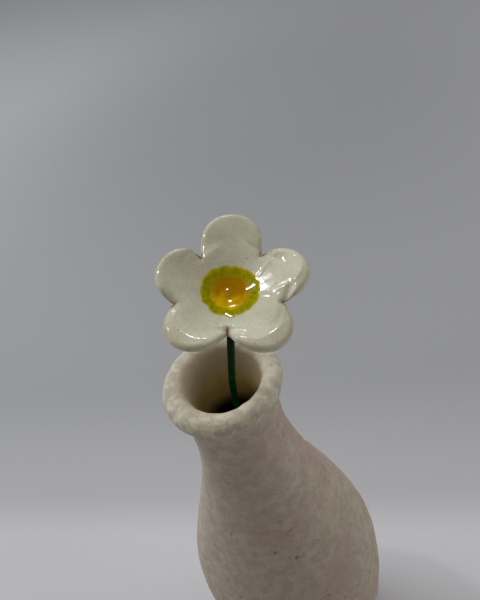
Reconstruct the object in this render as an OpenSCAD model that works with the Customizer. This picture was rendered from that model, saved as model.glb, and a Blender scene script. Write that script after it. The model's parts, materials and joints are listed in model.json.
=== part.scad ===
// Hand-thrown stoneware bud vase with a glazed ceramic flower pick standing in it.
// Millimetres, +Z up. Origin: centre of the foot, on the surface the vase stands on.
// The vase is a body of revolution about Z. The pick is a bent wire in one upright plane,
// with a five-petal flower turning on the wire's bare upper end.

/* [Vase] */
// Height from the foot to the top of the rim
vase_h = 160; // [120:1:200]
// Largest radius of the belly
belly_r = 31; // [24:0.5:40]
// Height of the widest part of the belly
belly_z = 60; // [40:1:80]
// Radius where the wall meets the foot
foot_r = 20.5; // [14:0.5:26]
// Outer radius at the narrowest part of the neck
neck_r = 12.8; // [9:0.1:18]
// Height of the narrowest part of the neck
neck_z = 141; // [120:1:150]
// Wall thickness
wall = 4; // [2.5:0.1:6]
// Thickness of the floor, measured from the foot plane
floor_z = 7; // [4:0.5:12]

/* [Rim] */
// Outer radius of the rolled rim
rim_r = 16; // [12:0.1:22]
// Radius of the roll itself
rim_roll_r = 3.05; // [1.5:0.05:5]

/* [Foot] */
// Outer radius of the hollow under the foot
hollow_r = 15; // [8:0.5:18]
// Depth of that hollow
hollow_depth = 1.2; // [0.5:0.1:3]
// Chamfer on the outer edge of the foot
foot_chamfer = 0.8; // [0:0.1:2]

/* [Inner glaze] */
// Thickness of the glaze that lines the inside
liner_t = 0.4; // [0.3:0.05:1]
// Height at which the lining ends inside the rim
liner_top_z = 154; // [140:1:156]

/* [Stem] */
// Radius of the steel core
core_r = 0.6; // [0.4:0.05:1]
// Outside radius of the green coating
coat_r = 0.9; // [0.6:0.05:1.5]
// Compass direction of the upright plane the wire is bent in
stem_plane_az = -60; // [-180:1:180]
// Sideways offset of that plane from the vase axis
stem_plane_off = 1.1; // [-3:0.1:3]
// Distance of the wire's foot from the axis, along the plane
stem_foot_s = 13; // [0:0.1:16]
// Height of the wire's foot
stem_foot_z = 7.85; // [7.5:0.05:12]
// Backward lean of the straight lower part
lean_back = 6.8; // [0:0.1:12]
// Length of the straight lower part
stem_low_len = 109; // [80:0.5:130]
// Radius of the bend
bend_r = 110; // [60:1:160]
// Forward lean of the flower's axis
lean_front = 18.7; // [0:0.5:40]
// Straight length from the bend to the middle of the flower's face
stem_top_len = 35.4; // [20:0.5:45]

/* [Flower] */
// Rotation of the flower about the wire
flower_turn_deg = 0; // [-180:1:180]
// Thickness of a petal
petal_t = 2.6; // [1.5:0.1:4]
// Radius of the flat middle, where the petals meet
flat_r = 6.5; // [4:0.1:8]
// Gap at the seam between two petals
seam_gap = 0.1; // [0.05:0.01:0.3]
// Outer radius of the green glaze ring
ring_r = 5.9; // [4.5:0.1:8]
// Radius of the amber glaze pool
pool_r = 4; // [2:0.1:5]
// Radius of the backing disc under the petals
disc_r = 6; // [4:0.1:8]
// Depth of the backing disc and socket boss below the petals
boss_h = 5.4; // [4:0.1:8]
// Radial clearance between the wire's bare end and the socket
socket_gap = 0.05; // [0.02:0.01:0.1]

/* [Hidden] */
$fn = 96;
skin_gap = 0.02;
wall_steps = 30;
rim_steps = 14;

clay = [0.80, 0.77, 0.69];
glaze_brown = [0.45, 0.38, 0.27];
steel = [0.62, 0.63, 0.64];
leaf_green = [0.04, 0.22, 0.09];
petal_white = [0.90, 0.87, 0.78];
moss = [0.42, 0.42, 0.06];
amber = [0.80, 0.52, 0.08];

// ---- vase profile: radius of the outer and inner wall at a height ----

rim_c_r = rim_r - rim_roll_r;
rim_c_z = vase_h - rim_roll_r;
mouth_r = rim_c_r - rim_roll_r;
rim_under_deg = -55;
rim_under_r = rim_c_r + rim_roll_r * cos(rim_under_deg);
rim_under_z = rim_c_z + rim_roll_r * sin(rim_under_deg);

// the foot rises to the belly, the shoulder falls to the neck in one soft S, then the neck flares to the rim
function outer_r(z) =
  z < belly_z ? belly_r - (belly_r - foot_r) * pow((belly_z - z) / belly_z, 2.25) :
  z < neck_z ? neck_r + (belly_r - neck_r) * (0.5 + 0.5 * cos(180 * (z - belly_z) / (neck_z - belly_z))) :
  neck_r + (rim_under_r - neck_r) * pow((z - neck_z) / (rim_under_z - neck_z), 3);

neck_in_r = neck_r - wall;
neck_top_z = neck_z + 5;
corner_h = 6;
corner_w = 3;

function corner_in(z) =
  z < floor_z + corner_h ? corner_w * (1 - sqrt(1 - pow(1 - (z - floor_z) / corner_h, 2))) : 0;

function inner_r(z) =
  z > neck_top_z ?
    neck_in_r + (mouth_r - neck_in_r) * (0.5 - 0.5 * cos(180 * (z - neck_top_z) / (rim_c_z - neck_top_z))) :
  z > neck_z ? neck_in_r :
  outer_r(z) - wall - corner_in(z);

function between(a, b, t) = a + (b - a) * t;
// stations crowd towards the floor, where the inside corner is tight
function inner_z(t, top) = between(floor_z, top, pow(t, 1.35));

outer_wall = [for (i = [0 : wall_steps])
  let (z = between(foot_chamfer, rim_under_z, i / wall_steps)) [outer_r(z), z]];
rim_arc = [for (i = [1 : rim_steps])
  let (a = between(rim_under_deg, 180, i / rim_steps))
  [rim_c_r + rim_roll_r * cos(a), rim_c_z + rim_roll_r * sin(a)]];
inner_wall = [for (i = [1 : wall_steps])
  let (z = inner_z(1 - i / wall_steps, rim_c_z)) [inner_r(z), z]];

module vase_body() {
  color(clay)
  rotate_extrude()
  polygon(concat(
    [[0, hollow_depth], [hollow_r - hollow_depth, hollow_depth], [hollow_r, 0],
     [foot_r - foot_chamfer, 0]],
    outer_wall, rim_arc, inner_wall, [[0, floor_z]]));
}

// a glaze skin on the floor and the inner wall, up to just inside the rim
module liner_glaze() {
  back = [for (i = [0 : wall_steps])
    let (z = inner_z(i / wall_steps, rim_c_z)) if (z < liner_top_z) [inner_r(z) - skin_gap, z + skin_gap]];
  face = [for (i = [len(back) - 1 : -1 : 0])
    [back[i][0] - liner_t, max(back[i][1], floor_z + skin_gap + liner_t)]];
  color(glaze_brown)
  rotate_extrude()
  polygon(concat([[0, floor_z + skin_gap]], back, face, [[0, floor_z + skin_gap + liner_t]]));
}

// ---- the pick: everything below is placed in the upright plane of the bent wire ----

module in_stem_plane() {
  rotate([0, 0, stem_plane_az]) translate([0, stem_plane_off, 0]) children();
}

// end of the straight lower part, centre of the bend, end of the bend, middle of the flower's face
low_end_s = stem_foot_s - stem_low_len * sin(lean_back);
low_end_z = stem_foot_z + stem_low_len * cos(lean_back);
bend_c_s = low_end_s + bend_r * cos(lean_back);
bend_c_z = low_end_z + bend_r * sin(lean_back);
bend_end_s = bend_c_s - bend_r * cos(lean_front);
bend_end_z = bend_c_z + bend_r * sin(lean_front);
flower_s = bend_end_s + stem_top_len * sin(lean_front);
flower_z = bend_end_z + stem_top_len * cos(lean_front);

boss_back = petal_t + skin_gap + boss_h;
coat_stop = boss_back + 0.1;
socket_top = petal_t + 0.9;
core_stop = socket_top + 0.3;

// carries a flat section along the wire: straight from the foot, one bend, then straight to within
// `stop` of the flower's face; the three lengths are parted by hairline joints so each stays a clean solid
joint_gap = 0.01;
module along_wire(stop) {
  translate([stem_foot_s, 0, stem_foot_z]) rotate([0, -lean_back, 0])
    linear_extrude(stem_low_len - joint_gap) children();
  translate([bend_c_s, 0, bend_c_z]) rotate([90, 0, 0]) rotate([0, 0, 180 - lean_front])
    rotate_extrude(angle = lean_back + lean_front) translate([bend_r, 0]) children();
  translate([bend_end_s, 0, bend_end_z]) rotate([0, lean_front, 0]) translate([0, 0, joint_gap])
    linear_extrude(stem_top_len - stop - joint_gap) children();
}

module stem_wire() {
  color(steel) in_stem_plane() along_wire(core_stop) circle(core_r);
}

module stem_coating() {
  color(leaf_green) in_stem_plane() along_wire(coat_stop) difference() {
    circle(coat_r);
    circle(core_r + skin_gap);
  }
}

// ---- the flower: its own frame has the face at z = 0 and the wire's axis along z ----

module on_flower() {
  in_stem_plane() translate([flower_s, 0, flower_z]) rotate([0, lean_front, 0])
    rotate([0, 0, flower_turn_deg]) children();
}

// backing disc the petals are luted to, narrowing to a boss with a blind socket for the wire
module flower_boss() {
  top = -(petal_t + skin_gap);
  bottom = -boss_back;
  color(petal_white) on_flower() rotate_extrude()
  polygon([[0, top], [disc_r - 0.4, top], [disc_r, top - 0.4], [disc_r - 0.3, top - 0.9],
    [3.4, top - 1.5], [2.6, top - 2.6], [2.2, bottom + 0.5], [1.8, bottom],
    [core_r + socket_gap, bottom], [core_r + socket_gap, -socket_top], [0, -socket_top]]);
}

// per petal: direction, tip radius, half width, rise at the tip, rise of both side edges,
// twist (rise of the +y edge, drop of the -y edge)
petals = [
  [133.4, 16.7, 6.1, 3.4, 0.4, 0],
  [59.5, 15.7, 6.1, 4.9, 0.3, -0.6],
  [-5, 15.5, 6.2, 2.7, 0.6, -0.5],
  [-85.5, 15.4, 6.2, 2.4, 0.5, 0.5],
  [-146.5, 14.4, 6.0, 4.0, 0.6, -0.5]];

petal_len_steps = 14;
petal_side_steps = 6;
petal_in = 1.2;

function wrapped(a) = a - 360 * floor((a + 180) / 360);
// half the angle between a petal and its neighbour on one side (+1 or -1)
function half_gap(k, side) =
  abs(wrapped(petals[(k + 5 - side) % 5][0] - petals[k][0])) / 2;

// half width of petal k at distance x along it, on one side: the seam line near the middle, then a lobe
// that is long towards the middle, round at the tip and slimmer beside a close neighbour
function half_width(k, side, x) =
  let (p = petals[k], a = half_gap(k, side), c = p[1] - p[2],
       seam = x * tan(a) - seam_gap / 2 / cos(a),
       run = x < c ? (x - c) / (c * 1.05) : (x - c) / p[2],
       lobe = p[2] * min(1, pow(sin(a) / sin(36), 0.6)) * sqrt(max(1 - run * run, 0)))
  min(seam, lobe);

// height of the petal's upper face before its edges are rounded
function petal_rise(k, x, y, u) =
  let (p = petals[k], d = max(norm([x, y]) - flat_r, 0), s = d / (p[1] - flat_r))
  p[3] * pow(s, 1.7) + min(s * 2, 1) * (p[4] * u * u + p[5] * u);

function petal_full(u, v) = sqrt(max((1 - pow(abs(u), 6)) * (1 - pow(abs(2 * v - 1), 8)), 0));

function petal_point(k, i, j, face) =
  let (v = 0.5 - 0.5 * cos(180 * i / petal_len_steps),
       x = between(petal_in, petals[k][1], v),
       u = sin(90 * j / petal_side_steps),
       side = j < 0 ? -1 : 1,
       y = u * half_width(k, side, x),
       e = petal_full(u, v))
  [x, y, petal_rise(k, x, y, u) - petal_t * (face > 0 ? (1 - e) / 2 : (1 + e) / 2)];

// one petal: an upper and a lower grid of points that share their outline
module petal(k) {
  n = petal_len_steps;
  m = petal_side_steps;
  cols = 2 * m - 1;
  // inner rows only; the two ends are single points, the long edges are shared by both faces
  ends = [petal_point(k, 0, 0, 0), petal_point(k, n, 0, 0)];
  edge_a = [for (i = [1 : n - 1]) petal_point(k, i, -m, 0)];
  edge_b = [for (i = [1 : n - 1]) petal_point(k, i, m, 0)];
  upper = [for (i = [1 : n - 1]) for (j = [1 - m : m - 1]) petal_point(k, i, j, 1)];
  lower = [for (i = [1 : n - 1]) for (j = [1 - m : m - 1]) petal_point(k, i, j, -1)];
  rows = n - 1;
  a0 = 2;
  b0 = a0 + rows;
  u0 = b0 + rows;
  l0 = u0 + rows * cols;
  function at(i, j, base) =
    j == 0 ? a0 + i : j == cols + 1 ? b0 + i : base + i * cols + j - 1;
  function skin(base, flip) = concat(
    [for (i = [0 : rows - 2]) for (j = [0 : cols]) for (h = [0, 1])
      let (q = [at(i, j, base), at(i + 1, j, base), at(i + 1, j + 1, base), at(i, j + 1, base)],
           tri = h == 0 ? [q[0], q[1], q[2]] : [q[0], q[2], q[3]])
      flip ? [tri[2], tri[1], tri[0]] : tri],
    [for (j = [0 : cols]) let (tri = [0, at(0, j, base), at(0, j + 1, base)])
      flip ? [tri[2], tri[1], tri[0]] : tri],
    [for (j = [0 : cols]) let (tri = [1, at(rows - 1, j + 1, base), at(rows - 1, j, base)])
      flip ? [tri[2], tri[1], tri[0]] : tri]);
  color(petal_white) on_flower() rotate([0, 0, petals[k][0]])
    polyhedron(concat(ends, edge_a, edge_b, upper, lower), concat(skin(u0, true), skin(l0, false)));
}

// raised ring of green glaze where the petals meet
module centre_ring() {
  color(moss) on_flower() translate([0, 0, skin_gap]) rotate_extrude()
  polygon([[pool_r + skin_gap, 0], [ring_r, 0], [ring_r - 0.2, 0.3], [ring_r - 0.9, 0.65],
    [ring_r - 1.5, 0.7], [pool_r + skin_gap, 0.35]]);
}

// shallow pool of amber glaze inside the ring
module centre_pool() {
  color(amber) on_flower() translate([0, 0, skin_gap]) rotate_extrude()
  polygon([[0, 0], [pool_r, 0], [pool_r, 0.35], [pool_r - 0.8, 0.45], [0, 0.5]]);
}

vase_body();
liner_glaze();
stem_wire();
stem_coating();
flower_boss();
petal(0);  // petal_top
petal(1);  // petal_right
petal(2);  // petal_lower_right
petal(3);  // petal_lower_left
petal(4);  // petal_left
centre_ring();
centre_pool();
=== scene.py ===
"""Ceramic bud vase: a speckled stoneware bottle with a glazed ceramic flower standing in it.

Blender 4.5, metres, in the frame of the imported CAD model. Lengths named below are in millimetres, as in
part.scad, and are turned into metres where a mesh is made.
"""

from collections import namedtuple
import json
import math

import bmesh
import bpy
from mathutils import Matrix, Vector, noise


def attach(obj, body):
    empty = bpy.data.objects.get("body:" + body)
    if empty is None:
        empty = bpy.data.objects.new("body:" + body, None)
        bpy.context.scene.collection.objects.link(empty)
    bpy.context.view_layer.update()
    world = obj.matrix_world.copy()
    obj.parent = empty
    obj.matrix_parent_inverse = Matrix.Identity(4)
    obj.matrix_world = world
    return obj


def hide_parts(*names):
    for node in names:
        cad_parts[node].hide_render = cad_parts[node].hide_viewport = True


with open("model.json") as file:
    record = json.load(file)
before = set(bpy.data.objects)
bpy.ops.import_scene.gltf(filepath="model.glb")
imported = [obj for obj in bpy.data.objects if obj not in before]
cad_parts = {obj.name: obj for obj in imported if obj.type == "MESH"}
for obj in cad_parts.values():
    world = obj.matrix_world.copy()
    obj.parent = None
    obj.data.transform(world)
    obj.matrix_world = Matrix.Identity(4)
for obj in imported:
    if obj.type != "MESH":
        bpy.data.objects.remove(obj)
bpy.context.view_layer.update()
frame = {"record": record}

MM = 0.001

# ---------------------------------------------------------------- shape of the vase, as in part.scad
VASE_H = 160.0
BELLY_R, BELLY_Z = 31.0, 60.0
FOOT_R, FOOT_CHAMFER = 20.5, 0.8
HOLLOW_R, HOLLOW_DEPTH = 15.0, 1.2
NECK_R, NECK_Z = 12.8, 141.0
WALL, FLOOR_Z = 4.0, 7.0
RIM_R, ROLL_R = 16.0, 3.05
LINER_T = 0.4

RIM_C_R, RIM_C_Z = RIM_R - ROLL_R, VASE_H - ROLL_R
MOUTH_R = RIM_C_R - ROLL_R
UNDER_RIM = math.radians(-55)
UNDER_R = RIM_C_R + ROLL_R * math.cos(UNDER_RIM)
UNDER_Z = RIM_C_Z + ROLL_R * math.sin(UNDER_RIM)
NECK_IN_R, NECK_TOP_Z = NECK_R - WALL, NECK_Z + 5.0
CORNER_H, CORNER_W = 6.0, 3.0

# ---------------------------------------------------------------- shape of the flower
# As in part.scad, except that three tips are up to 0.45 mm longer, the two lower petals are each turned 1.8
# degrees towards the other, and the rises differ by up to 0.2 mm and the left petal's twist by 0.3 mm.
PETAL_T, FLAT_R, PETAL_IN = 2.6, 6.5, 1.2
# direction in degrees, tip radius, half width, rise at the tip, rise of both side edges, twist
Petal = namedtuple("Petal", "name direction tip width rise edges twist")
PETALS = [
    Petal("petal_top", 133.4, 16.95, 6.1, 3.6, 0.4, 0.0),
    Petal("petal_right", 59.5, 15.7, 6.1, 4.9, 0.3, -0.6),
    Petal("petal_lower_right", -6.8, 15.95, 6.2, 2.6, 0.6, -0.5),
    Petal("petal_lower_left", -83.7, 15.85, 6.2, 2.3, 0.5, 0.5),
    Petal("petal_left", -146.5, 14.4, 6.0, 4.0, 0.7, -0.8),
]
POOL_R, RING_R = 4.0, 5.9
# the direction in which both glazes sit off the middle, and the one in which the amber is lightest
CENTRE_SHIFT, AMBER_LIGHT = math.radians(91), math.radians(-52)
DISC_R, BOSS_H = 6.0, 5.4
CORE_R, SOCKET_GAP = 0.6, 0.05


def lerp(a, b, t):
    return a + (b - a) * t


def smooth(lo, hi, x):
    t = min(max((x - lo) / (hi - lo), 0.0), 1.0)
    return t * t * (3 - 2 * t)


def hump(x, middle, width):
    """1 at the middle, fading smoothly to 0 on both sides."""
    return math.exp(-(((x - middle) / width) ** 2))


def soft_ramp(x, bend):
    """x where it is well above 0, and 0 where it is well below, joined by a bend of about this length."""
    past_bend = x > 26 * bend
    return x if past_bend else bend * math.log1p(math.exp(x / bend))


def polar(r, angle, z=0.0):
    return Vector((r * math.cos(angle), r * math.sin(angle), z))


def steps(a, b, count):
    """Evenly spaced values after a, up to and including b."""
    return [lerp(a, b, i / count) for i in range(1, count + 1)]


def bumps(p, size, seed=0.0):
    """Smooth noise, about -1 to 1, with lumps about `size` millimetres across."""
    return noise.noise(p / size + Vector((seed, seed * 1.7, -seed)))


# ================================================================ mesh helpers


def add_object(name, bm, smooth_angle=None):
    mesh = bpy.data.meshes.new(name)
    bm.to_mesh(mesh)
    bm.free()
    for face in mesh.polygons:
        face.use_smooth = True
    if smooth_angle is not None:
        mesh.set_sharp_from_angle(angle=math.radians(smooth_angle))
    obj = bpy.data.objects.new(name, mesh)
    bpy.context.collection.objects.link(obj)
    return obj


def lathe(name, profile, segments, place, layers=(), smooth_angle=None):
    """A surface of revolution whose first and last profile points lie on the axis.

    place(index, angle) gives the point in millimetres, and a value for each named vertex layer."""
    bm = bmesh.new()
    stores = [bm.verts.layers.float.new(n) for n in layers]

    def vertex(i, angle):
        point, values = place(i, angle)
        v = bm.verts.new(point * MM)
        for store, value in zip(stores, values):
            v[store] = value
        return v

    last = len(profile) - 1
    first_pole, last_pole = vertex(0, 0.0), vertex(last, 0.0)
    rows = [
        [vertex(i, 2 * math.pi * s / segments) for s in range(segments)]
        for i in range(1, last)
    ]
    for s in range(segments):
        n = (s + 1) % segments
        bm.faces.new((first_pole, rows[0][n], rows[0][s]))
        for low, high in zip(rows, rows[1:]):
            bm.faces.new((low[s], low[n], high[n], high[s]))
        bm.faces.new((last_pole, rows[-1][s], rows[-1][n]))
    bmesh.ops.recalc_face_normals(bm, faces=bm.faces)
    return add_object(name, bm, smooth_angle)


# ================================================================ the vase

VASE_SEGMENTS, LINER_SEGMENTS = 272, 144


def outer_r(z):
    if z < BELLY_Z:
        return BELLY_R - (BELLY_R - FOOT_R) * ((BELLY_Z - z) / BELLY_Z) ** 2.25
    if z < NECK_Z:
        fall = 0.5 + 0.5 * math.cos(math.pi * (z - BELLY_Z) / (NECK_Z - BELLY_Z))
        return NECK_R + (BELLY_R - NECK_R) * fall
    return NECK_R + (UNDER_R - NECK_R) * ((z - NECK_Z) / (UNDER_Z - NECK_Z)) ** 3


def inner_r(z):
    if z > NECK_TOP_Z:
        rise = 0.5 - 0.5 * math.cos(math.pi * (z - NECK_TOP_Z) / (RIM_C_Z - NECK_TOP_Z))
        return NECK_IN_R + (MOUTH_R - NECK_IN_R) * rise
    if z > NECK_Z:
        return NECK_IN_R
    corner = 0.0
    if z < FLOOR_Z + CORNER_H:
        corner = CORNER_W * (1 - math.sqrt(1 - (1 - (z - FLOOR_Z) / CORNER_H) ** 2))
    return outer_r(z) - WALL - corner


def vase_profile():
    """(radius, height, part) from the middle of the foot, up the outside, over the rim and down inside."""
    rows = [(0.0, HOLLOW_DEPTH, "under")]
    rows += [(r, HOLLOW_DEPTH, "under") for r in steps(0, HOLLOW_R - HOLLOW_DEPTH, 8)]
    rows += [(HOLLOW_R - 0.5, 0.35, "under"), (HOLLOW_R, 0.06, "under"), (HOLLOW_R + 0.3, 0.0, "foot")]
    rows += [(r, 0.0, "foot") for r in steps(HOLLOW_R + 0.3, FOOT_R - FOOT_CHAMFER, 6)]
    rows += [(FOOT_R - 0.32, 0.22, "foot")]
    rows += [(outer_r(z), z, "outside") for z in steps(FOOT_CHAMFER * 0.7, UNDER_Z, 190)]
    for i in range(1, 41):
        a = lerp(UNDER_RIM, math.pi, i / 40)
        rows.append((RIM_C_R + ROLL_R * math.cos(a), RIM_C_Z + ROLL_R * math.sin(a), "rim"))
    rows += [(inner_r(z), z, "inside") for z in steps(RIM_C_Z, FLOOR_Z, 110)]
    rows += [(r, FLOOR_Z, "floor") for r in steps(inner_r(FLOOR_Z), 0, 8)]
    return rows


def heavy_lip(angle):
    """The roll was pressed thicker on one side, where it leans into the mouth."""
    return -0.18 + 0.45 * (1 + math.cos(angle - math.radians(172)))


def inside_lump(p):
    """How far the bare wall inside stands proud of its profile."""
    near_mouth = smooth(146, 156, p.z)
    lip = heavy_lip(math.atan2(p.y, p.x)) * near_mouth
    return lip + lerp(-0.10 + 0.05 * bumps(p, 6, 11), -0.10 + 0.10 * bumps(p, 3.2, 7), near_mouth)


def settled(r, z, angle):
    """The mouth is not quite round and not quite level."""
    top = smooth(138, 158, z)
    r *= 1 - top * 0.006 * (1 + math.cos(angle * 2 + 1.1))
    return r, z - top * (0.22 + 0.2 * math.sin(angle * 2 + 0.6))


def make_vase():
    rows = vase_profile()

    def normal(i):
        a, b = rows[max(i - 1, 0)], rows[min(i + 1, len(rows) - 1)]
        dr, dz = b[0] - a[0], b[1] - a[1]
        size = math.hypot(dr, dz) or 1.0
        return dz / size, -dr / size

    def place(i, angle):
        r, z, part = rows[i]
        p = polar(r, angle, z)
        lump = 0.0
        if part in ("outside", "rim"):
            fade = smooth(0.5, 7.0, z)
            in_rim = smooth(UNDER_Z - 4, UNDER_Z + 2, z)
            # hand-made unevenness: broad flats, finger lumps, grit, and faint throwing lines
            lump = -0.34 + 0.30 * bumps(p, 17, 3) + 0.13 * bumps(p, 6.5, 5)
            lump += lerp(0.035, 0.15, in_rim) * bumps(p, 2.6, 7)
            lump += lerp(0.0, 0.07, in_rim) * bumps(p, 1.3, 9)
            wave = z / 5.8 + 0.7 * bumps(p, 30, 2)
            lump += 0.055 * math.sin(2 * math.pi * wave) * (1 - in_rim)
            lump = min(lump, -0.01) * fade
            if part == "rim" and r < RIM_C_R:
                lump += heavy_lip(angle) * smooth(RIM_C_R, MOUTH_R + 0.3, r)
        elif part == "inside":
            lump = inside_lump(p)
        nr, nz = normal(i)
        r, z = settled(r + nr * lump, z + nz * lump, angle)
        # mouth: 1 on the bare wall inside and on the inner side of the rim, which the material tints darker
        # as painted shade in the mouth
        mouth = 1.0 if part == "inside" else 0.0
        if part == "rim":
            mouth = smooth(RIM_C_R - 0.3, MOUTH_R + 0.2, r) if r < RIM_C_R else 0.0
        return polar(r, angle, max(z, 0.0)), (mouth,)

    vase = lathe("vase_body_thrown", rows, VASE_SEGMENTS, place, ("mouth",))
    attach(vase, "vase")
    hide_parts("vase_body")
    return vase


def make_liner():
    """The glaze inside: a skin that thins out to nothing just under the rim, with a wandering edge."""
    bottom_z, top_z = FLOOR_Z + 0.02, 154.4
    heights = [bottom_z] + steps(bottom_z, top_z, 120)
    rows = [(0.0, heights[0], "back")] + [(inner_r(z), z, "back") for z in heights]
    face = [(inner_r(z), z, "face") for z in reversed(heights)]
    rows += face + [(0.0, heights[0], "face")]
    last = len(rows) - 1

    def place(i, angle):
        r, z, side = rows[i]
        edge = top_z - 0.9 * (0.5 + 0.5 * bumps(polar(9, angle), 4, 21))
        z = min(z, edge - 0.003 * (top_z - z))
        p = polar(r, angle, z)
        gap = lerp(0.12, 0.02, smooth(136, 150, z))
        skin = gap + inside_lump(p)
        if side == "face":
            thin = 1 - smooth(edge - 10.0, edge, z)
            skin += 0.01 + (LINER_T - 0.10 + 0.05 * bumps(p, 5, 23)) * thin
            z = max(z, bottom_z + LINER_T)
        r, z = settled(max(r - skin, 0.0), z, angle)
        return polar(0.0 if i in (0, last) else r, angle, z), ()

    liner = lathe("liner_glaze_skin", rows, LINER_SEGMENTS, place, smooth_angle=50)
    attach(liner, "vase")
    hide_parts("liner_glaze")
    return liner


# ================================================================ the flower

turn = next(j for j in frame["record"]["behaviour"]["joints"] if j["name"] == "flower_turn")
face_centre, face_axis = Vector(turn["pos_m"]), Vector(turn["axis"]).normalized()
stem_heading = math.atan2(face_axis.y, face_axis.x)
face_tilt = math.acos(face_axis.z)
FLOWER = (
    Matrix.Translation(face_centre)
    @ Matrix.Rotation(stem_heading, 4, "Z")
    @ Matrix.Rotation(face_tilt, 4, "Y")
    @ Matrix.Scale(MM, 4)
)


def wrapped(degrees):
    return (degrees + 180) % 360 - 180


def side_of(y):
    """Which side of its middle line a petal's point lies on: 1 counterclockwise and -1 clockwise."""
    return -1 if y < 0 else 1


def neighbour(k, side):
    return (k - side) % len(PETALS)


def half_gap(k, side):
    """Half the angle, in radians, between petal k and its neighbour on one side."""
    return math.radians(abs(wrapped(PETALS[neighbour(k, side)].direction - PETALS[k].direction))) / 2


def seam_width(k, side, x):
    """Distance at x from the petal's middle line out to its seam."""
    return x * math.tan(half_gap(k, side))


def lobe_width(k, side):
    """Half width of the round end of a petal, less where its neighbour stands close."""
    crowding = math.sin(half_gap(k, side)) / math.sin(math.radians(36))
    return PETALS[k].width * min(1.0, crowding ** 0.6)


def lobe_run(k, x):
    """How far along the petal x lies: 0 at the widest place and 1 at the tip."""
    widest = PETALS[k].tip - PETALS[k].width
    return (x - widest) / (widest * 1.05 if x < widest else PETALS[k].width)


def lobe_half(k, side, x):
    """Half width of the petal's oval at x, before its neighbours cut into it."""
    return lobe_width(k, side) * math.sqrt(max(1 - lobe_run(k, x) ** 2, 0.0))


def notch_x(k, side):
    """How far along petal k its free outline leaves the seam with its neighbour."""
    x = 5.0
    while seam_width(k, side, x) < lobe_half(k, side, x):
        x += 0.05
    return x


NOTCH = {
    (k, side): notch_x(k, side) / math.cos(half_gap(k, side))
    for k in range(len(PETALS))
    for side in (-1, 1)
}


def is_front_cut(k, side):
    """The two lower petals have a real cut between them; the others only meet in a notch."""
    return {PETALS[k].name, PETALS[neighbour(k, side)].name} == {"petal_lower_right", "petal_lower_left"}


def slot_start(k, side):
    """Radius at which the cut between two petals begins, a little inside their notch."""
    deep = 1.5 if is_front_cut(k, side) else 0.3
    return (NOTCH[k, side] + NOTCH[neighbour(k, side), -side]) / 2 - deep


def slot_depth(k, y):
    return 0.85 if is_front_cut(k, side_of(y)) else 0.2


def slot_bead(k, y, gap):
    """A bead of glaze drawn up round the inner end of the front cut."""
    return 0.09 * hump(gap, 1.0, 0.3) if is_front_cut(k, side_of(y)) else 0.0


SLOT_START = {key: slot_start(*key) for key in NOTCH}
SLOT_HALF = 0.06


def half_width(k, side, x):
    rho = x / math.cos(half_gap(k, side))
    cut = SLOT_HALF * smooth(SLOT_START[k, side], SLOT_START[k, side] + 0.7, rho)
    return min(seam_width(k, side, x) - cut, lobe_half(k, side, x))


def side_lift(k, x, y):
    """The edges' own lift and the petal's twist, across its width."""
    petal = PETALS[k]
    s = max(math.hypot(x, y) - FLAT_R, 0.0) / (petal.tip - FLAT_R)
    u = max(-1.0, min(1.0, y / lobe_width(k, side_of(y))))
    return min(s * 2, 1) * (petal.edges * u * u + petal.twist * u)


DISH_FROM, SINK = 2.6, 0.85
# how far the ridge lies inside the outline: on the clockwise side, at the tip and on the other side
RIDGES = {
    "petal_top": (1.0, 1.1, 1.0),
    "petal_right": (2.9, 1.7, 1.5),
    "petal_lower_right": (1.5, 2.9, 1.5),
    "petal_lower_left": (1.7, 2.6, 1.5),
    "petal_left": (1.0, 1.1, 1.1),
}
# height of the fine bead of glaze that stands along the ridge
BEADS = {"petal_right": 0.09, "petal_lower_right": 0.075, "petal_lower_left": 0.04}
WELT_H = 0.13


def dish_slope(k):
    petal = PETALS[k]
    return (petal.rise + SINK) / (petal.tip - RIDGES[petal.name][1] - DISH_FROM)


def dish(k, x, y):
    """The petal's upper face before its edge is rolled over: it rises evenly from the pool to the tip."""
    run = soft_ramp(math.hypot(x, y) - DISH_FROM, 0.45)
    return -SINK + dish_slope(k) * run + side_lift(k, x, y)


def from_seam(k, x, y):
    """Distance along the nearer seam from the middle of the flower, and distance from that seam."""
    a = half_gap(k, side_of(y))
    return x * math.cos(a) + abs(y) * math.sin(a), x * math.sin(a) - abs(y) * math.cos(a)


def to_outline(k, x, y):
    """Distance to the free outline, which begins at the notch."""
    side = side_of(y)
    lobe = max(1 - math.hypot(lobe_run(k, x), y / lobe_width(k, side)), 0.0) * PETALS[k].width
    along, across = from_seam(k, x, y)
    past = along - NOTCH[k, side]
    return lerp(max(lobe, math.hypot(past, across)), lobe, smooth(-2.0, 0.3, past))


def to_slot(k, x, y):
    """Distance to the cut beside the petal."""
    along, across = from_seam(k, x, y)
    short = SLOT_START[k, side_of(y)] + 0.35 - along
    return math.hypot(max(short, 0.0), max(across - SLOT_HALF, 0.0))


def roll(t):
    """A quarter round: 1 at the edge, t = 0, and 0 from where the flat begins, t = 1."""
    t = min(max(t, 0.0), 1.0)
    return 1 - math.sqrt(max(1 - (1 - t) ** 2, 0.0))


# widths of the rounding at the outline, above and below, and at the cuts
ROLL_TOP, ROLL_BACK, ROLL_SLOT, ROLL_SLOT_BACK = 1.15, 1.05, 0.8, 0.7
# how far the outline lies below the face, how steeply the face falls outside its ridge, and the bend there
EDGE_DROP, BEVEL, RIDGE_BEND = 1.05, 0.18, 0.3


def tipward(k, x, y):
    """How far the outline nearest a point faces along the petal: 1 at the tip and 0 at the sides."""
    width = PETALS[k].width
    ox, oy = max(lobe_run(k, x), 0.0) / width, y / width ** 2
    return ox / max(math.hypot(ox, oy), 1e-6)


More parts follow.
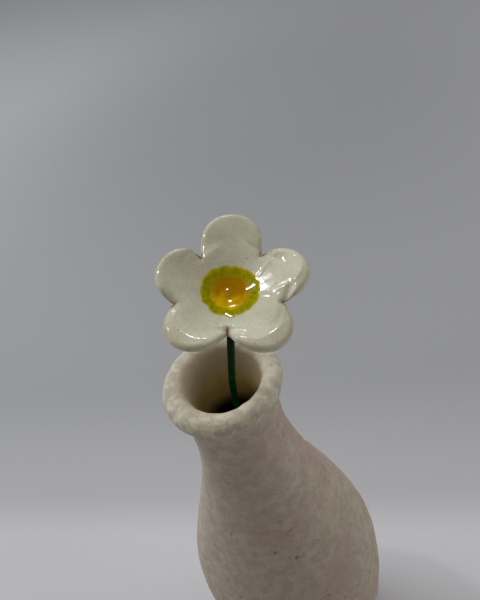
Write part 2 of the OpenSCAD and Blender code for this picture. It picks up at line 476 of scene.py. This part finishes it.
def ridge_in(k, x, y):
    """How far inside the outline the ridge runs, near a point."""
    u = max(-1.0, min(1.0, y / max(half_width(k, side_of(y), x), 0.5)))
    low, tip, high = RIDGES[PETALS[k].name]
    return lerp(lerp(low, high, smooth(-0.5, 0.5, u)), tip, tipward(k, x, y) ** 2)


def welt(k, x, y):
    """Low ridges where the right petal was pressed on to its neighbours."""
    if PETALS[k].name != "petal_right":
        return 0.0
    _, inset = from_seam(k, x, y)
    rho = math.hypot(x, y)
    if side_of(y) > 0:
        return WELT_H * hump(inset, 2.4, 0.26) * smooth(5.8, 7.0, rho)
    reach = smooth(5.4, 6.6, rho) * (1 - smooth(7.2, 9.2, rho))
    return WELT_H * hump(inset, 1.0, 0.45) * reach


def own_face(k, x, y, face):
    """Height of petal k's own upper face (face=1) or back (face=-1) at a point in its own directions."""
    top = dish(k, x, y)
    room, gap = to_outline(k, x, y), to_slot(k, x, y)
    past_ridge = ridge_in(k, x, y) - room
    fall = (BEVEL + tipward(k, x, y) * dish_slope(k)) * soft_ramp(past_ridge, RIDGE_BEND)
    pad = top - fall
    edge = pad - EDGE_DROP
    if face > 0:
        bead = BEADS.get(PETALS[k].name, 0.0) * hump(past_ridge, 0.0, 0.3)
        z = pad + welt(k, x, y) + bead * smooth(8.0, 10.0, math.hypot(x, y)) + slot_bead(k, y, gap)
        z = lerp(z, edge, roll(room / ROLL_TOP))
        return z - slot_depth(k, y) * roll(gap / ROLL_SLOT)
    back = soft_ramp(top, 0.3) - PETAL_T
    z = lerp(back, edge, roll(room / ROLL_BACK))
    return z + 0.35 * roll(gap / ROLL_SLOT_BACK)


def turned(x, y, degrees):
    a = math.radians(degrees)
    return x * math.cos(a) - y * math.sin(a), x * math.sin(a) + y * math.cos(a)


def face_height(k, x, y, face):
    """The petal's face blended into its neighbour's, so that the five meet flush round the middle."""
    side = side_of(y)
    n = neighbour(k, side)
    lean = abs(math.atan2(y, max(x, 0.01))) / half_gap(k, side)
    start = SLOT_START[k, side]
    rho = math.hypot(x, y)
    share = 0.5 * smooth(0.1, 1.0, lean) * (1 - smooth(start + 0.6, start + 2.2, rho))
    z = own_face(k, x, y, face)
    fx, fy = turned(x, y, PETALS[k].direction)
    if share > 0:
        nx, ny = turned(fx, fy, -PETALS[n].direction)
        z = lerp(z, own_face(n, max(nx, 0.5), ny, face), share)
    spot = Vector((fx, fy, 0))
    inside = smooth(0.2, 2.0, to_outline(k, x, y))
    if face > 0:
        z += (0.07 * bumps(spot, 4.6, 31) + 0.03 * bumps(spot, 1.9, 33)) * inside * smooth(4.5, 7.5, rho)
    else:
        z += 0.08 * bumps(spot, 4, 35) * inside
    return z


def nearest_petal(fx, fy):
    a = math.degrees(math.atan2(fy, fx))
    return min(range(len(PETALS)), key=lambda k: abs(wrapped(a - PETALS[k].direction)))


def flower_top(fx, fy):
    """Height of the petals' upper face anywhere near the middle of the flower."""
    k = nearest_petal(fx, fy)
    x, y = turned(fx, fy, -PETALS[k].direction)
    return face_height(k, x, y, 1)


def make_petal(k):
    petal = PETALS[k]
    rows, cols = 60, 30
    bm = bmesh.new()
    wear, back, slot = [bm.verts.layers.float.new(layer) for layer in ("wear", "back", "slot")]
    place = FLOWER @ Matrix.Rotation(math.radians(petal.direction), 4, "Z")
    grid = []
    for i in range(rows + 1):
        x = lerp(PETAL_IN, petal.tip, 0.5 - 0.5 * math.cos(math.pi * i / rows))
        ring = []
        for face in (1, -1):
            for j in range(-cols, cols + 1):
                y = math.sin(math.pi / 2 * j * face / cols) * half_width(k, side_of(j * face), x)
                vert = bm.verts.new(place @ Vector((x, y, face_height(k, x, y, face))))
                room, gap = to_outline(k, x, y), to_slot(k, x, y)
                vert[wear] = hump(room, 0.0, 0.6)
                vert[back] = smooth(0.4, 2.0, room) if face < 0 else 0.0
                vert[slot] = hump(gap, 0.0, 0.45)
                ring.append(vert)
        grid.append(ring)
    size = len(grid[0])
    for low, high in zip(grid, grid[1:]):
        for j in range(size):
            n = (j + 1) % size
            bm.faces.new((low[j], high[j], high[n], low[n]))
    for j in range(2 * cols):
        bm.faces.new((grid[0][j], grid[0][j + 1], grid[0][size - 2 - j], grid[0][size - 1 - j]))
    bmesh.ops.remove_doubles(bm, verts=bm.verts, dist=0.004 * MM)
    bmesh.ops.dissolve_degenerate(bm, edges=bm.edges, dist=0.002 * MM)
    bmesh.ops.recalc_face_normals(bm, faces=bm.faces)
    piece = add_object(petal.name + "_glazed", bm, 50)
    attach(piece, "flower")
    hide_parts(petal.name)
    return piece


def ring_edge(a):
    """Radius of the painted ring's wavering outline, which sits a little to one side."""
    spot = polar(6, a)
    scallop = 0.42 * bumps(spot, 2.4, 43) + 0.52 * bumps(spot, 1.3, 45)
    return min(RING_R - 0.10 + 0.30 * math.cos(a - CENTRE_SHIFT) + scallop, RING_R + 0.3)


def pool_edge(a):
    return POOL_R - 0.25 + 0.25 * math.cos(a - CENTRE_SHIFT)


def centre_relief(r, a):
    """Thickness of the two centre glazes over the petals' face."""
    edge = ring_edge(a)
    spot = polar(r, a)
    body = 0.07 + 0.03 * bumps(spot, 1.5, 41) + 0.05 * bumps(spot, 3.0, 47)
    ripple = 0.065 * math.sin(r * 3.1 + 1.3 * math.cos(a) + 0.6) * (1 - smooth(2.6, 3.8, r))
    return 0.012 + max(body + ripple, 0.02) * (1 - smooth(edge - 1.1, edge, r))


def make_centre(name, node, r_in_of, r_out_of, rings):
    """A glaze laid on the petals' face, between two outlines that are given as radius of angle."""
    segments = 240
    bm = bmesh.new()
    radial, lower = bm.verts.layers.float.new("radial"), bm.verts.layers.float.new("lower")
    hollow = r_in_of(0.0) > 0.5

    def vertex(r, a, top):
        fx, fy = r * math.cos(a), r * math.sin(a)
        z = flower_top(fx, fy) + (centre_relief(r, a) if top else 0.004)
        v = bm.verts.new(FLOWER @ Vector((fx, fy, z)))
        v[radial] = r / ring_edge(a)
        v[lower] = 0.5 + 0.5 * r / POOL_R * math.cos(a - AMBER_LIGHT)
        return v

    loops = []
    for top in (True, False):
        for i in range(rings + 1):
            share = i / rings if top else 1 - i / rings
            angles = [2 * math.pi * s / segments for s in range(segments)]
            loops.append([vertex(lerp(r_in_of(a), r_out_of(a), share), a, top) for a in angles])
    pairs = list(zip(loops, loops[1:]))
    if hollow:
        pairs.append((loops[-1], loops[0]))
    for low, high in pairs:
        for s in range(segments):
            n = (s + 1) % segments
            bm.faces.new((low[s], high[s], high[n], low[n]))
    bmesh.ops.remove_doubles(bm, verts=bm.verts, dist=0.001 * MM)
    bmesh.ops.dissolve_degenerate(bm, edges=bm.edges, dist=0.0005 * MM)
    bmesh.ops.recalc_face_normals(bm, faces=bm.faces)
    piece = add_object(name, bm, 60)
    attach(piece, "flower")
    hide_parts(node)
    return piece


def make_boss():
    """The back of the flower: a disc luted under the petals, running down into a boss with a socket."""
    top, bottom = -(PETAL_T + 0.02), -(PETAL_T + 0.02 + BOSS_H)
    socket_r, socket_top = CORE_R + SOCKET_GAP, -(PETAL_T + 0.9)
    disc_flat_r, disc_round, disc_mid = DISC_R - 0.5, 0.45, top - 0.5
    boss_r, end_r, end_h = 2.3, 0.55, 0.6
    rows = [(0.0, top), (2.0, top), (4.0, top), (disc_flat_r, top)]
    for i in range(9):
        a = math.pi / 2 - math.pi * i / 8
        rows.append((disc_flat_r + disc_round * math.cos(a), disc_mid + disc_round * math.sin(a)))
    for i in range(1, 15):
        t = i / 14
        flare = (DISC_R - 0.6 - boss_r) * (1 - t) ** 2.6
        rows.append((boss_r + flare, lerp(disc_mid - 0.5, bottom + end_h, t)))
    for i in range(1, 6):
        a = math.pi / 2 * i / 5
        rows.append((boss_r - end_r + end_r * math.cos(a), bottom + end_h - end_h * math.sin(a)))
    rows += [(socket_r + 0.1, bottom), (socket_r, bottom + 0.1), (socket_r, socket_top), (0.0, socket_top)]
    # the disc's round edge and the boss's side are uneven, and the flat top and the socket are true
    first_uneven, last_uneven = 4, len(rows) - 6

    def place(i, angle):
        r, z = rows[i]
        p = polar(r, angle, z)
        if first_uneven <= i <= last_uneven:
            p.xy *= 0.97 + 0.035 * bumps(p, 2.6, 51)
        return (FLOWER @ p) / MM, (1.0,)

    boss = lathe("flower_boss_thrown", rows, 96, place, ("back",))
    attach(boss, "flower")
    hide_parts("flower_boss")
    return boss


# ================================================================ materials


class Shader:
    """A node material built by short calls. Coordinates are the object's own, in millimetres."""

    def __init__(self, name):
        self.material = bpy.data.materials.new(name)
        self.material.use_nodes = True
        self.nodes, self.links = self.material.node_tree.nodes, self.material.node_tree.links
        self.nodes.clear()
        out = self.nodes.new("ShaderNodeOutputMaterial")
        self.bsdf = self.nodes.new("ShaderNodeBsdfPrincipled")
        self.links.new(self.bsdf.outputs[0], out.inputs[0])
        place = self.nodes.new("ShaderNodeTexCoord")
        self.mm = self.vector("SCALE", place.outputs["Object"], scale=1 / MM)

    def put(self, socket, value):
        if isinstance(value, bpy.types.NodeSocket):
            self.links.new(value, socket)
        elif isinstance(value, tuple) and len(value) == 3 and socket.type == "RGBA":
            socket.default_value = (*value, 1.0)
        else:
            socket.default_value = value

    def set(self, **values):
        """Sets the shader's own sockets: a constant directly, and a node's output by a link."""
        for name, value in values.items():
            self.put(self.bsdf.inputs[name.replace("_", " ")], value)

    def vector(self, operation, a, b=None, scale=None):
        n = self.nodes.new("ShaderNodeVectorMath")
        n.operation = operation
        self.put(n.inputs[0], a)
        if b is not None:
            self.put(n.inputs[1], b)
        if scale is not None:
            n.inputs["Scale"].default_value = scale
        return n.outputs["Value" if operation in ("DOT_PRODUCT", "DISTANCE") else "Vector"]

    def math(self, operation, a, b):
        n = self.nodes.new("ShaderNodeMath")
        n.operation = operation
        self.put(n.inputs[0], a)
        self.put(n.inputs[1], b)
        return n.outputs[0]

    def noise(self, size, detail=3.0, roughness=0.55, distortion=0.0, shift=0.0):
        """Noise with features about `size` millimetres across."""
        n = self.nodes.new("ShaderNodeTexNoise")
        where = self.vector("ADD", self.mm, (shift, shift * 0.7, -shift)) if shift else self.mm
        self.put(n.inputs["Vector"], where)
        n.inputs["Scale"].default_value = 1.0 / size
        n.inputs["Detail"].default_value = detail
        n.inputs["Roughness"].default_value = roughness
        n.inputs["Distortion"].default_value = distortion
        return n.outputs[0]

    def range(self, value, low, high, to_low=0.0, to_high=1.0, kind="SMOOTHSTEP"):
        n = self.nodes.new("ShaderNodeMapRange")
        n.interpolation_type = kind
        for i, v in enumerate((value, low, high, to_low, to_high)):
            self.put(n.inputs[i], v)
        return n.outputs[0]

    def specks(self, cell, radius, share, shift=0.0):
        """Round specks: one at most in each cell, up to `radius` of a cell, in `share` of the cells."""
        n = self.nodes.new("ShaderNodeTexVoronoi")
        wobble = self.noise(cell * 0.5, 2.0, shift=shift + 3)
        where = self.vector("ADD", self.mm, (shift, -shift, shift * 0.5))
        offset = self.nodes.new("ShaderNodeCombineXYZ")
        self.put(offset.inputs[0], self.math("MULTIPLY", wobble, cell * 0.35))
        self.put(offset.inputs[1], self.math("MULTIPLY", wobble, cell * -0.25))
        self.put(n.inputs["Vector"], self.vector("ADD", where, offset.outputs[0]))
        n.inputs["Scale"].default_value = 1.0 / cell
        split = self.nodes.new("ShaderNodeSeparateColor")
        self.put(split.inputs[0], n.outputs["Color"])
        reach = self.range(split.outputs[0], 1 - share, 1.0, 0.0, radius, "LINEAR")
        inner = self.math("MULTIPLY", reach, 0.45)
        return self.range(n.outputs["Distance"], inner, reach, 1.0, 0.0)

    def mix(self, amount, a, b):
        """Colour a where amount is 0, and b where it is 1."""
        n = self.nodes.new("ShaderNodeMix")
        n.data_type = "RGBA"
        self.put(n.inputs[0], amount)
        self.put(n.inputs[6], a)
        self.put(n.inputs[7], b)
        return n.outputs[2]

    def tint(self, color, mask, strength, other):
        """Another colour laid over the first where the mask is 1, at most `strength` of it."""
        return self.mix(self.math("MULTIPLY", mask, strength), color, other)

    def layer(self, name):
        """A value stored at each vertex."""
        n = self.nodes.new("ShaderNodeAttribute")
        n.attribute_name = name
        return n.outputs["Fac"]

    def height(self):
        """The object's own height above the foot, in millimetres."""
        n = self.nodes.new("ShaderNodeSeparateXYZ")
        self.put(n.inputs[0], self.mm)
        return n.outputs[2]

    def bump(self, height, distance, strength=1.0):
        n = self.nodes.new("ShaderNodeBump")
        n.inputs["Strength"].default_value = strength
        n.inputs["Distance"].default_value = distance * MM
        self.put(n.inputs["Height"], height)
        return n.outputs[0]


def stoneware():
    s = Shader("stoneware")
    z = s.height()
    broad = s.noise(16, 3.0, 0.55, 0.4)
    mottle = s.noise(3.1, 4.0, 0.6, 0.25, shift=20)
    grain = s.noise(0.8, 4.0, 0.65, shift=40)
    pink = s.range(s.noise(22, 2.0, 0.5, shift=60), 0.44, 0.66)
    color = s.mix(s.range(mottle, 0.36, 0.66), (0.43, 0.365, 0.295), (0.52, 0.46, 0.385))
    color = s.tint(color, pink, 0.65, (0.445, 0.325, 0.285))
    color = s.tint(color, s.range(broad, 0.5, 0.72), 0.35, (0.37, 0.35, 0.275))
    smudge = s.range(s.noise(2.2, 2.0, 0.5, 0.3, shift=70), 0.60, 0.74)
    color = s.tint(color, smudge, 0.34, (0.20, 0.16, 0.12))
    # painted light: the upper part of the rim is painted paler, as lit from above, and the underside of its
    # roll keeps the darker body colour as painted shade; the pale part has grey and cream blotches
    rim = s.range(z, 151, 157.5)
    blotch = s.noise(2.6, 3.0, 0.6, 0.6, shift=80)
    painted_lit_rim_color = s.mix(s.range(blotch, 0.40, 0.62), (0.47, 0.437, 0.354), (0.647, 0.595, 0.478))
    color = s.mix(rim, color, painted_lit_rim_color)
    color = s.tint(color, s.range(grain, 0.35, 0.75), 0.22, (0.62, 0.60, 0.52))
    spots = s.specks(5.2, 0.17, 0.5, shift=11)
    color = s.tint(color, spots, 0.62, (0.13, 0.10, 0.07))
    small = s.specks(2.1, 0.16, 0.6, shift=31)
    color = s.tint(color, small, 0.55, (0.15, 0.12, 0.09))
    pits = s.specks(1.5, 0.16, 0.35, shift=51)
    color = s.tint(color, pits, 0.35, (0.10, 0.09, 0.07))
    # painted shade: the inner side of the rim and the bare wall in the mouth are tinted a darker brown,
    # where the mouth falls into shade
    color = s.tint(color, s.layer("mouth"), 0.75, (0.47, 0.39, 0.27))
    # bare clay on the foot
    foot = s.range(z, 1.0, 5.0, 1.0, 0.0)
    color = s.tint(color, foot, 0.7, (0.30, 0.235, 0.17))
    s.set(Base_Color=color)
    s.set(Roughness=s.range(mottle, 0.3, 0.7, 0.86, 0.70, "LINEAR"))
    s.set(IOR=1.45, Specular_IOR_Level=0.32)
    height = s.math("ADD", s.math("MULTIPLY", mottle, 0.5), s.math("MULTIPLY", grain, 0.32))
    height = s.math("SUBTRACT", height, s.math("MULTIPLY", pits, 0.22))
    height = s.math("SUBTRACT", height, s.math("MULTIPLY", small, 0.06))
    s.set(Normal=s.bump(height, 0.42, 1.0))
    return s.material


def liner():
    s = Shader("liner_glaze")
    cloud = s.noise(7, 3.0, 0.5, 0.4)
    z = s.height()
    # painted shade: darker down the neck with depth, nearly black deep inside, olive above it, and
    # clay-coloured and dry where the skin thins out
    color = s.mix(s.range(cloud, 0.35, 0.68), (0.004, 0.002, 0.001), (0.012, 0.008, 0.004))
    upper = s.mix(s.range(cloud, 0.35, 0.68), (0.46, 0.36, 0.15), (0.58, 0.47, 0.22))
    color = s.mix(s.range(z, 136.5, 143.5), color, upper)
    color = s.mix(s.range(z, 147, 154), color, (0.47, 0.40, 0.28))
    color = s.tint(color, s.specks(2.4, 0.16, 0.5), 0.6, (0.05, 0.035, 0.02))
    gloss = s.range(cloud, 0.3, 0.7, 0.42, 0.30, "LINEAR")
    dry = s.range(z, 144.0, 153.0, 0.0, 0.42)
    s.set(Base_Color=color, Roughness=s.math("ADD", gloss, dry))
    s.set(IOR=1.5)
    s.set(Normal=s.bump(s.noise(1.6, 3.0), 0.12, 0.5))
    return s.material


def petal_glaze():
    s = Shader("petal_glaze")
    cloud = s.noise(9, 3.0, 0.5, 0.3)
    fine = s.noise(1.1, 3.0, 0.6, shift=15)
    color = s.mix(s.range(cloud, 0.35, 0.68), (0.68, 0.665, 0.505), (0.765, 0.77, 0.625))
    color = s.tint(color, s.range(fine, 0.4, 0.75), 0.18, (0.52, 0.48, 0.38))
    # the glaze is thin over the edges, on the back and in the cuts, so the brown clay shows through
    broken = s.math("MULTIPLY", s.layer("wear"), s.range(s.noise(2.4, 3.0, 0.5, shift=25), 0.2, 0.7))
    color = s.tint(color, broken, 0.62, (0.36, 0.27, 0.18))
    color = s.tint(color, s.layer("back"), 0.55, (0.33, 0.26, 0.18))
    color = s.tint(color, s.layer("slot"), 0.8, (0.42, 0.28, 0.16))
    grain = s.noise(0.32, 2.0, 0.6, shift=35)
    color = s.tint(color, s.range(grain, 0.48, 0.70), 0.32, (0.42, 0.36, 0.26))
    specks = s.specks(0.95, 0.24, 0.6, shift=5)
    color = s.tint(color, specks, 0.46, (0.26, 0.19, 0.12))
    rare = s.specks(2.7, 0.11, 0.6, shift=9)
    color = s.tint(color, rare, 0.75, (0.15, 0.10, 0.06))
    s.set(Base_Color=color, Roughness=s.range(fine, 0.3, 0.7, 0.16, 0.10, "LINEAR"))
    s.set(IOR=1.52, Coat_Weight=0.35, Coat_Roughness=0.05)
    height = s.math("ADD", s.math("MULTIPLY", s.noise(2.6, 2.0), 0.7), s.math("MULTIPLY", fine, 0.12))
    s.set(Normal=s.bump(height, 0.10, 0.55))
    return s.material


def centre_glaze(name, green):
    s = Shader(name)
    radial = s.layer("radial")
    streak = s.noise(1.7, 3.0, 0.6, 0.4)
    fine = s.noise(0.75, 3.0, 0.6, shift=12)
    edge = s.math("ADD", radial, s.math("MULTIPLY", s.math("SUBTRACT", streak, 0.5), 0.30))
    drift = s.math("SUBTRACT", s.noise(1.8, 3.0, shift=4), 0.5)
    warm = s.math("ADD", s.layer("lower"), s.math("MULTIPLY", drift, 0.7))
    color = s.mix(s.range(warm, 0.30, 0.95), (0.50, 0.235, 0.002), (0.90, 0.58, 0.004))
    color = s.mix(s.range(edge, 0.52, 0.72), color, (0.45, 0.385, 0.002))
    dapple = s.math("MULTIPLY", s.range(fine, 0.40, 0.66), s.range(edge, 0.6, 0.75))
    color = s.mix(dapple, color, (0.27, 0.275, 0.002))
    color = s.mix(s.range(radial, 0.90, 0.99), color, (0.56, 0.52, 0.03))
    s.set(Base_Color=color, Roughness=s.range(streak, 0.3, 0.7, 0.12, 0.05, "LINEAR"))
    s.set(IOR=1.52, Coat_Weight=0.5, Coat_Roughness=0.03)
    height = s.math("ADD", s.noise(1.1 if green else 1.9, 2.0, 0.5), s.math("MULTIPLY", fine, 0.25))
    s.set(Normal=s.bump(height, 0.05 if green else 0.04, 0.6))
    return s.material


def green_coating():
    s = Shader("green_coating")
    streak = s.noise(2.5, 3.0, 0.6)
    fine = s.noise(0.4, 2.0)
    color = s.mix(s.range(streak, 0.35, 0.68), (0.001, 0.018, 0.004), (0.003, 0.050, 0.012))
    # painted shadow: the coating is darkened towards the flower, where the flower's shadow falls on the
    # stem
    painted_flower_shadow = s.range(s.height(), 166.0, 184.0)
    color = s.tint(color, painted_flower_shadow, 0.85, (0.0005, 0.004, 0.001))
    s.set(Base_Color=color, Roughness=s.range(fine, 0.3, 0.7, 0.46, 0.34, "LINEAR"))
    s.set(Specular_IOR_Level=0.02)
    s.set(Normal=s.bump(s.math("ADD", streak, fine), 0.05, 0.5))
    return s.material


def steel():
    s = Shader("steel_wire")
    drawn = s.noise(0.25, 2.0)
    color = s.mix(s.range(drawn, 0.3, 0.7), (0.40, 0.40, 0.41), (0.55, 0.55, 0.56))
    s.set(Base_Color=color, Roughness=s.range(drawn, 0.3, 0.7, 0.42, 0.28, "LINEAR"))
    s.set(Metallic=1.0)
    s.set(Normal=s.bump(drawn, 0.02, 0.4))
    return s.material


def studio_floor():
    """Pale paper with painted light and shade: painted brighter in front of the vase, ending in a soft
    line, and painted greyer further back.
    """
    s = Shader("studio_floor")
    across = s.vector("DOT_PRODUCT", s.mm, (0.319, 0.948, 0.0))
    # painted light: a brighter sheet in front of the vase, and painted shade further back
    painted_shade_further_back = s.range(across, 30.0, 56.0)
    color = s.mix(painted_shade_further_back, (0.60, 0.61, 0.65), (0.47, 0.48, 0.51))
    color = s.mix(s.range(across, 45.0, 130.0), color, (0.355, 0.364, 0.387))
    # painted shade: a darker patch past the vase and a darker far side, with faint clouds; further out all
    # of it ends in paper painted pale again as painted light, where the lamps' light falls off
    painted_shade_patch = s.range(s.vector("DISTANCE", s.mm, (90.0, 430.0, 0.0)), 60.0, 330.0, 1.0, 0.0)
    color = s.tint(color, painted_shade_patch, 0.9, (0.280, 0.288, 0.307))
    painted_far_shade = s.range(across, 480.0, 900.0)
    color = s.tint(color, painted_far_shade, 0.7, (0.235, 0.240, 0.256))
    cloud = s.range(s.noise(260, 1.0, 0.4), 0.4, 0.65)
    color = s.tint(color, cloud, 0.12, (0.30, 0.305, 0.32))
    # painted light: the far paper is painted pale, where the lamps' light has fallen off
    painted_far_light = s.range(s.vector("DISTANCE", s.mm, (0.0, 0.0, 0.0)), 1150.0, 1600.0)
    color = s.mix(painted_far_light, color, (0.80, 0.81, 0.84))
    s.set(Base_Color=color, Roughness=0.9, Specular_IOR_Level=0.15)
    return s.material


def dress(obj, material):
    obj.data.materials.clear()
    obj.data.materials.append(material)


# ================================================================ stage, lights and camera


FLOOR_RADIUS, FLOOR_BELOW_FOOT = 3.0, 0.0002


def make_stage():
    """A round pale floor just under the foot, and an even warm world that doesn't show in the glaze."""
    bm = bmesh.new()
    bmesh.ops.create_circle(bm, cap_ends=True, segments=96, radius=FLOOR_RADIUS)
    floor = add_object("studio_floor", bm)
    floor.location.z = -FLOOR_BELOW_FOOT
    dress(floor, studio_floor())
    world = bpy.data.worlds.new("studio")
    world.use_nodes = True
    world.node_tree.nodes["Background"].inputs["Color"].default_value = (1.0, 0.93, 0.84, 1.0)
    world.node_tree.nodes["Background"].inputs["Strength"].default_value = 0.25
    world.cycles_visibility.glossy = False
    bpy.context.scene.world = world


def area_light(name, at, aim, size, power, color):
    data = bpy.data.lights.new(name, "AREA")
    data.shape = "RECTANGLE"
    data.size, data.size_y = size
    data.energy = power
    data.color = color
    obj = bpy.data.objects.new(name, data)
    obj.location = Vector(at)
    obj.rotation_euler = (Vector(aim) - Vector(at)).to_track_quat("-Z", "Y").to_euler()
    bpy.context.collection.objects.link(obj)
    return obj


def make_lights():
    """Two broad fills that don't show in the glaze, and two small lamps that make its highlights."""
    neck, face = (0.0, 0.0, 0.15), (0.009, -0.014, 0.198)
    cool, lamp_white, warm = (0.97, 0.985, 1.0), (1.0, 0.99, 0.97), (1.0, 0.98, 0.95)
    fills = (
        area_light("soft_back_left", (-0.48, 0.78, 0.87), neck, (1.0, 0.9), 9.5, cool),
        area_light("right_side", (0.80, 0.05, 0.30), neck, (0.30, 0.50), 1.55, warm),
    )
    for fill in fills:
        fill.visible_glossy = False
    area_light("lamp_left", (-0.387, 0.238, 0.890), face, (0.05, 0.045), 0.75, lamp_white)
    area_light("lamp_back", (0.19, 0.467, 0.82), face, (0.11, 0.04), 0.45, lamp_white)


CAMERA_AT = Vector((10.7, -105.1, 280.5)) * MM
CAMERA_PITCH, CAMERA_ROLL = math.radians(43.1), math.radians(-18.0)


def make_camera():
    """A camera in front of the vase, looking down at it and rolled a little."""
    pitch, roll = CAMERA_PITCH, CAMERA_ROLL
    forward = Vector((0, math.cos(pitch), -math.sin(pitch)))
    level, upright = Vector((1, 0, 0)), Vector((0, math.sin(pitch), math.cos(pitch)))
    right = math.cos(roll) * level + math.sin(roll) * upright
    up = math.cos(roll) * upright - math.sin(roll) * level
    data = bpy.data.cameras.new("camera")
    data.sensor_width = 36.0
    data.lens = 38.4
    data.clip_start = 0.005
    data.clip_end = 20
    camera = bpy.data.objects.new("camera", data)
    axes = Matrix((right, up, -forward)).transposed().to_4x4()
    camera.matrix_world = Matrix.Translation(CAMERA_AT) @ axes
    bpy.context.collection.objects.link(camera)
    bpy.context.scene.camera = camera


# ================================================================ assembly

bpy.context.scene.view_settings.view_transform = "Standard"
make_camera()
make_stage()
make_lights()

dress(make_vase(), stoneware())
dress(make_liner(), liner())
petal_material = petal_glaze()
for index in range(len(PETALS)):
    dress(make_petal(index), petal_material)
dress(make_boss(), petal_material)
pool = make_centre("centre_pool_glaze", "centre_pool", lambda a: 0.0, pool_edge, 22)
dress(pool, centre_glaze("amber_glaze", False))
ring = make_centre("centre_ring_glaze", "centre_ring", pool_edge, ring_edge, 16)
dress(ring, centre_glaze("green_glaze", True))
for node, material in (("stem_coating", green_coating()), ("stem_wire", steel())):
    dress(bpy.data.objects[node], material)
